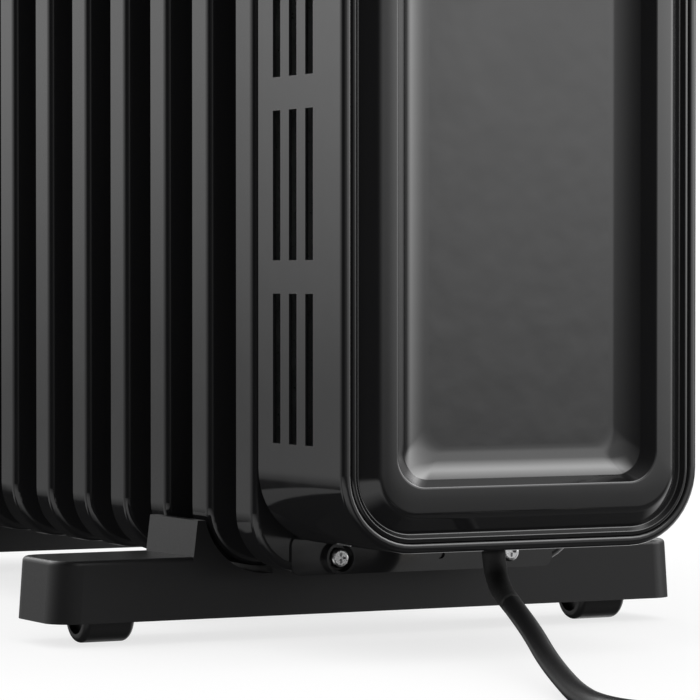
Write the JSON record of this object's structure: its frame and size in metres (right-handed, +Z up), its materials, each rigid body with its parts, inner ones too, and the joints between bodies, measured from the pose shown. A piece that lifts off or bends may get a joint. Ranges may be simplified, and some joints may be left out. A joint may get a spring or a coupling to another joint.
{
  "type": "oil filled radiator heater",
  "caption": "Free-standing oil filled radiator: gloss black hollow fins in a row, vented control cover at one end, two roller feet, carry handle and power cord",
  "frame": {"origin": "middle of the heater's footprint at floor level, without its cord", "axes": "+X across the fins, +Y from the control cover to the far end, +Z up"},
  "size_m": [0.3115, 0.8453, 0.654],
  "materials": {
    "fin_paint": "gloss black",
    "cover_paint": "gloss black with fine orange peel",
    "zinc_steel": "zinc plated",
    "chrome_screw": "bright",
    "element_sheath": "heat tinted",
    "satin_plastic": "satin black",
    "knob_plastic": "semi gloss black",
    "switch_plastic": "pale",
    "roller_plastic": "satin black",
    "cord_rubber": "satin black",
    "dark_rubber": "matt black",
    "lens": "red, clear",
    "pin_metal": "nickel plated"
  },
  "bodies": {
    "heater": {"fin_01": "fin_paint", "fin_02": "fin_paint", "fin_03": "fin_paint", "fin_04": "fin_paint", "fin_05": "fin_paint", "fin_06": "fin_paint", "fin_07": "fin_paint", "fin_08": "fin_paint", "fin_09": "fin_paint", "fin_10": "fin_paint", "fin_11": "fin_paint", "fin_12": "fin_paint", "fin_13": "fin_paint", "hub_collars_bottom": "fin_paint", "hub_collars_top": "fin_paint", "hub_cap_bottom": "fin_paint", "hub_cap_top": "fin_paint", "oil_filler_plug": "zinc_steel", "heating_element": "element_sheath", "element_flange": "zinc_steel", "element_gasket": "dark_rubber", "heat_shield": "zinc_steel", "control_housing": "cover_paint", "face_panel": "cover_paint", "control_plate": "satin_plastic", "pilot_lens": "lens", "thermostat_body": "switch_plastic", "selector_switch": "switch_plastic", "thermal_cutout": "zinc_steel", "tilt_switch": "switch_plastic", "terminal_block": "switch_plastic", "wire_harness": "cord_rubber", "cord_clamp": "satin_plastic", "cord_gland": "dark_rubber", "carry_handle": "satin_plastic", "handle_screws": "chrome_screw", "base_bracket": "cover_paint", "bracket_screw_left": "chrome_screw", "bracket_screw_right": "chrome_screw", "foot_front": "satin_plastic", "foot_rear": "satin_plastic", "u_bolt_front": "zinc_steel", "u_bolt_rear": "zinc_steel", "wing_nuts_front": "zinc_steel", "wing_nuts_rear": "zinc_steel", "axles_front": "zinc_steel", "axles_rear": "zinc_steel", "power_cord": "cord_rubber", "cord_coil": "cord_rubber", "cord_tie": "satin_plastic", "plug_body": "cord_rubber", "plug_pins": "pin_metal"},
    "thermostat_dial": {"thermostat_knob": "knob_plastic", "thermostat_shaft": "zinc_steel"},
    "selector_dial": {"selector_knob": "knob_plastic", "selector_shaft": "zinc_steel"},
    "roller_front_left": {"roller_front_left": "roller_plastic"},
    "roller_front_right": {"roller_front_right": "roller_plastic"},
    "roller_rear_left": {"roller_rear_left": "roller_plastic"},
    "roller_rear_right": {"roller_rear_right": "roller_plastic"}
  },
  "joints": [
    {"name": "thermostat_turn", "type": "hinge", "parent": "heater", "child": "thermostat_dial", "pos_m": [0, -0.2838, 0.463], "axis": [0, 1, 0], "range_deg": [0, 270]},
    {"name": "selector_turn", "type": "hinge", "parent": "heater", "child": "selector_dial", "pos_m": [0, -0.2838, 0.537], "axis": [0, 1, 0], "range_deg": [0, 135]},
    {"name": "roller_front_left_spin", "type": "hinge", "parent": "heater", "child": "roller_front_left", "pos_m": [-0.115, -0.14415, 0.0112], "axis": [1, 0, 0], "continuous": true},
    {"name": "roller_front_right_spin", "type": "hinge", "parent": "heater", "child": "roller_front_right", "pos_m": [0.115, -0.14415, 0.0112], "axis": [1, 0, 0], "continuous": true},
    {"name": "roller_rear_left_spin", "type": "hinge", "parent": "heater", "child": "roller_rear_left", "pos_m": [-0.115, 0.23715, 0.0112], "axis": [1, 0, 0], "continuous": true},
    {"name": "roller_rear_right_spin", "type": "hinge", "parent": "heater", "child": "roller_rear_right", "pos_m": [0.115, 0.23715, 0.0112], "axis": [1, 0, 0], "continuous": true}
  ]
}
